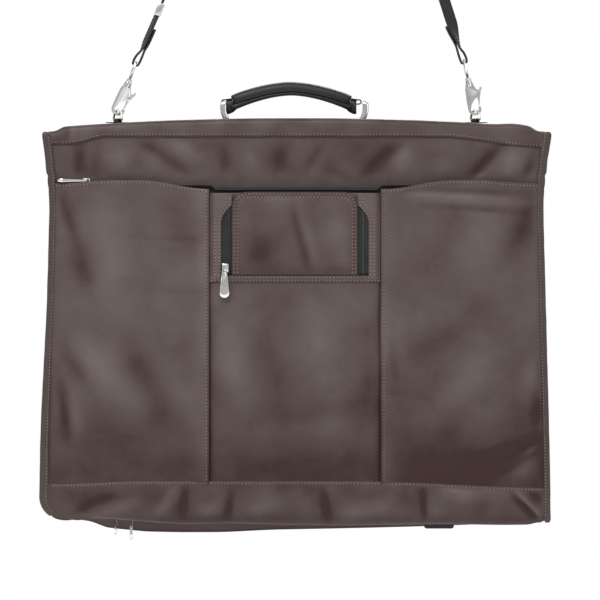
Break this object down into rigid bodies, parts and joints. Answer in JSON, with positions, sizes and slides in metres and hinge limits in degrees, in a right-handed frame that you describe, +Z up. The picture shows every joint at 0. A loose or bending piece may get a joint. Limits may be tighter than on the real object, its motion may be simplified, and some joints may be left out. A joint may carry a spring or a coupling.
{
  "type": "garment bag",
  "caption": "Folding leather garment bag with a zipped front pocket, fold-down organizer flap, padded handle, clip-on shoulder strap and a fold-out hanging hook.",
  "frame": {"origin": "under the middle of the bag's bounding box at rest, at the tips of the two zip pulls that hang below it; the lowest leather is 14.6 mm above it, and the plane between the two cases 6.15 mm behind it", "axes": "+Z up from the folded bag's bottom edge to its handle, +X to the right of someone looking at the front pocket, -Y out of the front pocket"},
  "size_m": [0.612, 0.1272, 0.8289],
  "materials": {
    "brown_leather": "satin",
    "black_leather": "satin",
    "nickel": "polished",
    "zip_tape": "matte",
    "lining": "matte",
    "mesh": "matte",
    "board": "matte",
    "plastic": "matte"
  },
  "bodies": {
    "rear_case": {"rear_panel": "brown_leather", "rear_lining": "lining", "rear_binding_left": "brown_leather", "rear_binding_right": "brown_leather", "rear_zip_tape": "zip_tape", "rear_top_band": "brown_leather", "hanger_bracket": "nickel", "hook_anchor_tab": "brown_leather", "hook_keeper": "black_leather", "hold_down_strap": "mesh", "hold_down_buckle": "plastic", "zip_end_tab": "black_leather"},
    "spine": {"spine_cover": "brown_leather", "spine_board": "board", "handle_chape_left": "black_leather", "handle_chape_right": "black_leather", "strap_tab_left": "black_leather", "strap_tab_right": "black_leather"},
    "front_case": {"front_panel": "brown_leather", "front_lining": "lining", "front_binding_left": "brown_leather", "front_binding_right": "brown_leather", "front_zip_tape": "zip_tape", "front_top_band": "brown_leather", "front_bottom_band": "brown_leather", "pocket_left_panel": "brown_leather", "pocket_centre_panel": "brown_leather", "pocket_right_panel": "brown_leather", "pocket_zip_tape": "zip_tape", "organizer_surround": "brown_leather", "organizer_backing": "lining", "organizer_zip_tape": "zip_tape", "mesh_pocket": "mesh"},
    "organizer_flap": {"organizer_flap_panel": "brown_leather", "organizer_flap_tape": "zip_tape"},
    "pocket_slider": {"pocket_slider": "nickel"},
    "pocket_pull": {"pocket_pull": "nickel"},
    "organizer_slider": {"organizer_slider": "nickel"},
    "organizer_pull": {"organizer_pull": "nickel"},
    "closure_left_slider": {"closure_left_slider": "nickel"},
    "closure_left_pull": {"closure_left_pull": "nickel"},
    "closure_right_slider": {"closure_right_slider": "nickel"},
    "closure_right_pull": {"closure_right_pull": "nickel"},
    "handle_ring_left": {"handle_ring_left": "nickel"},
    "handle_ring_right": {"handle_ring_right": "nickel"},
    "handle_grip": {"handle_grip": "black_leather"},
    "d_ring_left": {"d_ring_left": "nickel"},
    "d_ring_right": {"d_ring_right": "nickel"},
    "strap": {"shoulder_strap": "black_leather", "shoulder_pad": "black_leather", "swivel_eye_left": "nickel", "swivel_eye_right": "nickel"},
    "hook_left": {"hook_left_body": "nickel"},
    "gate_left": {"hook_left_gate": "nickel"},
    "hook_right": {"hook_right_body": "nickel"},
    "gate_right": {"hook_right_gate": "nickel"},
    "strap_adjuster": {"strap_adjuster": "nickel"},
    "hanging_hook": {"hanging_hook": "nickel"},
    "hanger_clamp": {"hanger_clamp": "nickel"}
  },
  "joints": [
    {"name": "spine_fold", "type": "hinge", "parent": "rear_case", "child": "spine", "pos_m": [0, 0.05415, 0.5106], "axis": [-1, 0, 0], "range_deg": [0, 90]},
    {"name": "front_fold", "type": "hinge", "parent": "spine", "child": "front_case", "pos_m": [0, -0.04185, 0.5106], "axis": [-1, 0, 0], "range_deg": [0, 90]},
    {"name": "handle_left_sway", "type": "hinge", "parent": "spine", "child": "handle_ring_left", "pos_m": [-0.0835, 0.00615, 0.509], "axis": [0, 1, 0], "range_deg": [-30, 40]},
    {"name": "handle_right_sway", "type": "hinge", "parent": "spine", "child": "handle_ring_right", "pos_m": [0.0785, 0.00615, 0.509], "axis": [0, 1, 0], "range_deg": [-30, 40]},
    {"name": "handle_grip_pivot", "type": "hinge", "parent": "handle_ring_left", "child": "handle_grip", "pos_m": [-0.08721, 0.00615, 0.52865], "axis": [0, 1, 0], "range_deg": [-40, 30]},
    {"name": "strap_swing", "type": "hinge", "parent": "spine", "child": "strap", "pos_m": [0, 0.00615, 0.5092], "axis": [1, 0, 0], "range_deg": [-42, 42]},
    {"name": "d_ring_left_tilt", "type": "hinge", "parent": "spine", "child": "d_ring_left", "pos_m": [-0.2155, 0.00615, 0.5092], "axis": [-0.1045, 0.9945, 0], "range_deg": [-5, 5]},
    {"name": "d_ring_right_tilt", "type": "hinge", "parent": "spine", "child": "d_ring_right", "pos_m": [0.2155, 0.00615, 0.5092], "axis": [-0.1045, 0.9945, 0], "range_deg": [-5, 5]},
    {"name": "hook_left_swivel", "type": "hinge", "parent": "strap", "child": "hook_left", "pos_m": [-0.20242, 0.00615, 0.55578], "axis": [0.3584, 0, 0.9336], "range_deg": [-12, 12]},
    {"name": "hook_right_swivel", "type": "hinge", "parent": "strap", "child": "hook_right", "pos_m": [0.20729, 0.00615, 0.55727], "axis": [-0.225, 0, 0.9744], "range_deg": [-12, 12]},
    {"name": "gate_left_pivot", "type": "hinge", "parent": "hook_left", "child": "gate_left", "pos_m": [-0.20157, 0.00773, 0.53724], "axis": [-0.1941, 0.9781, 0.0745], "range_deg": [0, 18], "stiffness_Nm_per_rad": 0.02},
    {"name": "gate_right_pivot", "type": "hinge", "parent": "hook_right", "child": "gate_right", "pos_m": [0.21852, 0.00615, 0.54241], "axis": [0, 1, 0], "range_deg": [0, 18], "stiffness_Nm_per_rad": 0.02},
    {"name": "adjuster_slide", "type": "slide", "parent": "strap", "child": "strap_adjuster", "axis": [0.4019, 0, 0.9157], "range_m": [0, 0.05]},
    {"name": "pocket_zip", "type": "slide", "parent": "front_case", "child": "pocket_slider", "axis": [1, 0, 0], "range_m": [0, 0.5]},
    {"name": "pocket_pull_flip", "type": "hinge", "parent": "pocket_slider", "child": "pocket_pull", "pos_m": [-0.252, -0.04555, 0.4365], "axis": [0, 1, 0], "range_deg": [0, 175]},
    {"name": "organizer_zip", "type": "slide", "parent": "front_case", "child": "organizer_slider", "axis": [0, 0, 1], "range_m": [0, 0.068]},
    {"name": "organizer_pull_flip", "type": "hinge", "parent": "organizer_slider", "child": "organizer_pull", "pos_m": [-0.0864, -0.06115, 0.3316], "axis": [-1, 0, 0], "range_deg": [0, 170]},
    {"name": "organizer_flap_fold", "type": "hinge", "parent": "front_case", "child": "organizer_flap", "pos_m": [0, -0.05765, 0.3228], "axis": [1, 0, 0], "range_deg": [0, 80]},
    {"name": "closure_left_zip", "type": "slide", "parent": "rear_case", "child": "closure_left_slider", "axis": [-1, 0, 0], "range_m": [0, 0.041]},
    {"name": "closure_right_zip", "type": "slide", "parent": "rear_case", "child": "closure_right_slider", "axis": [1, 0, 0], "range_m": [0, 0.44]},
    {"name": "closure_left_pull_swing", "type": "hinge", "parent": "closure_left_slider", "child": "closure_left_pull", "pos_m": [-0.218, 0.00615, 0.036], "axis": [0, 1, 0], "range_deg": [0, 80]},
    {"name": "closure_right_pull_swing", "type": "hinge", "parent": "closure_right_slider", "child": "closure_right_pull", "pos_m": [-0.1994, 0.00615, 0.036], "axis": [0, 1, 0], "range_deg": [-80, 0]},
    {"name": "hanging_hook_fold", "type": "hinge", "parent": "rear_case", "child": "hanging_hook", "pos_m": [0, 0.05955, 0.0686], "axis": [-1, 0, 0], "range_deg": [0, 175]},
    {"name": "hanger_clamp_fold", "type": "hinge", "parent": "rear_case", "child": "hanger_clamp", "pos_m": [0, 0.04365, 0.1266], "axis": [1, 0, 0], "range_deg": [0, 60]}
  ],
  "couplings": [
    {"joint": "handle_right_sway", "follows": "handle_left_sway", "ratio": 1},
    {"joint": "handle_grip_pivot", "follows": "handle_left_sway", "ratio": -1}
  ]
}
